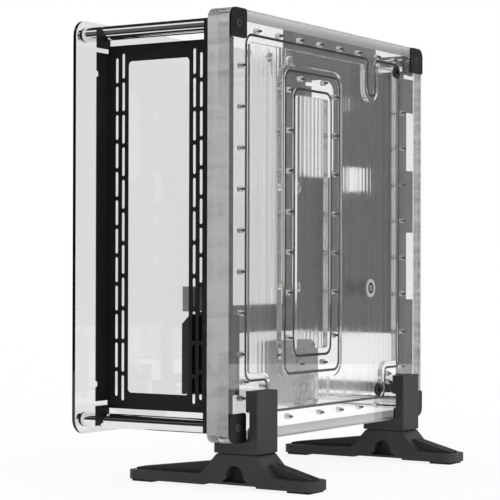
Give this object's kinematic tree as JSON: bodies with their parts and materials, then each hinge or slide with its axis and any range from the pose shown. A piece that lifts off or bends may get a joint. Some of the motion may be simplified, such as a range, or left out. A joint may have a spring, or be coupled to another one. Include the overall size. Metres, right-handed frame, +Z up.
{
  "type": "open-frame computer case",
  "caption": "Open-frame computer case: a clear coolant distribution plate and a tinted glass panel on corner rods, with folded steel brackets, a board tray and two feet.",
  "frame": {"origin": "middle of the footprint, on the surface that the feet stand on", "axes": "+X towards the rear bracket, +Y from the distribution plate to the glass panel, +Z up"},
  "size_m": [0.496, 0.323, 0.568],
  "materials": {
    "clear_acrylic": "clear, polished",
    "seal_rubber": "black cord",
    "black_anodised": "black anodised, satin",
    "black_chrome": "black chrome, polished",
    "black_screws": "black oxide",
    "washer_rubber": "black",
    "tinted_glass": "grey tint, polished",
    "black_steel": "black powder coat",
    "standoff_brass": "turned",
    "module_plastic": "black, moulded",
    "circuit_board": "solder mask",
    "socket_steel": "plated",
    "button_plastic": "black",
    "pump_silver": "satin, bead blasted",
    "steel_screws": "plated",
    "impeller_plastic": "white, moulded",
    "foot_black": "black, fine grain",
    "pad_rubber": "black"
  },
  "bodies": {
    "case": {"plate_cover": "clear_acrylic", "plate_core": "clear_acrylic", "seal_outer": "seal_rubber", "seal_island": "seal_rubber", "seal_tank": "seal_rubber", "corner_cap_front_lower": "black_anodised", "corner_cap_front_upper": "black_anodised", "corner_cap_rear_lower": "black_anodised", "corner_cap_rear_upper": "black_anodised", "rod_front_lower": "black_chrome", "rod_front_upper": "black_chrome", "rod_rear_lower": "black_chrome", "rod_rear_upper": "black_chrome", "rod_extensions": "black_chrome", "thumb_screws": "black_chrome", "stop_plug": "black_chrome", "fill_plug": "black_chrome", "drain_plug": "black_chrome", "corner_bolts": "black_screws", "foot_bolts": "black_screws", "slot_cover_screws": "black_screws", "pump_screws": "steel_screws", "inner_washers": "washer_rubber", "outer_washers": "washer_rubber", "glass_panel": "tinted_glass", "front_bracket": "black_steel", "rear_bracket": "black_steel", "motherboard_tray": "black_steel", "tray_rail": "black_steel", "slot_cover_1": "black_steel", "slot_cover_2": "black_steel", "slot_cover_3": "black_steel", "slot_cover_4": "black_steel", "slot_cover_5": "black_steel", "slot_cover_6": "black_steel", "slot_cover_7": "black_steel", "board_standoffs": "standoff_brass", "module_housing": "module_plastic", "module_board": "circuit_board", "module_sockets": "socket_steel", "pump_motor": "pump_silver", "foot_saddle_front": "foot_black", "foot_saddle_rear": "foot_black", "foot_stand_front": "foot_black", "foot_stand_rear": "foot_black", "foot_pads_front": "pad_rubber", "foot_pads_rear": "pad_rubber"},
    "power_button": {"power_button": "button_plastic"},
    "reset_button": {"reset_button": "button_plastic"},
    "pump_impeller": {"pump_impeller": "impeller_plastic"}
  },
  "joints": [
    {"name": "power_press", "type": "slide", "parent": "case", "child": "power_button", "axis": [1, 0, 0], "range_m": [0, 0.0012], "stiffness_N_per_m": 600},
    {"name": "reset_press", "type": "slide", "parent": "case", "child": "reset_button", "axis": [1, 0, 0], "range_m": [0, 0.0008], "stiffness_N_per_m": 600},
    {"name": "impeller_spin", "type": "hinge", "parent": "case", "child": "pump_impeller", "pos_m": [-0.0485, -0.0455, 0.112], "axis": [0, 1, 0], "continuous": true}
  ]
}
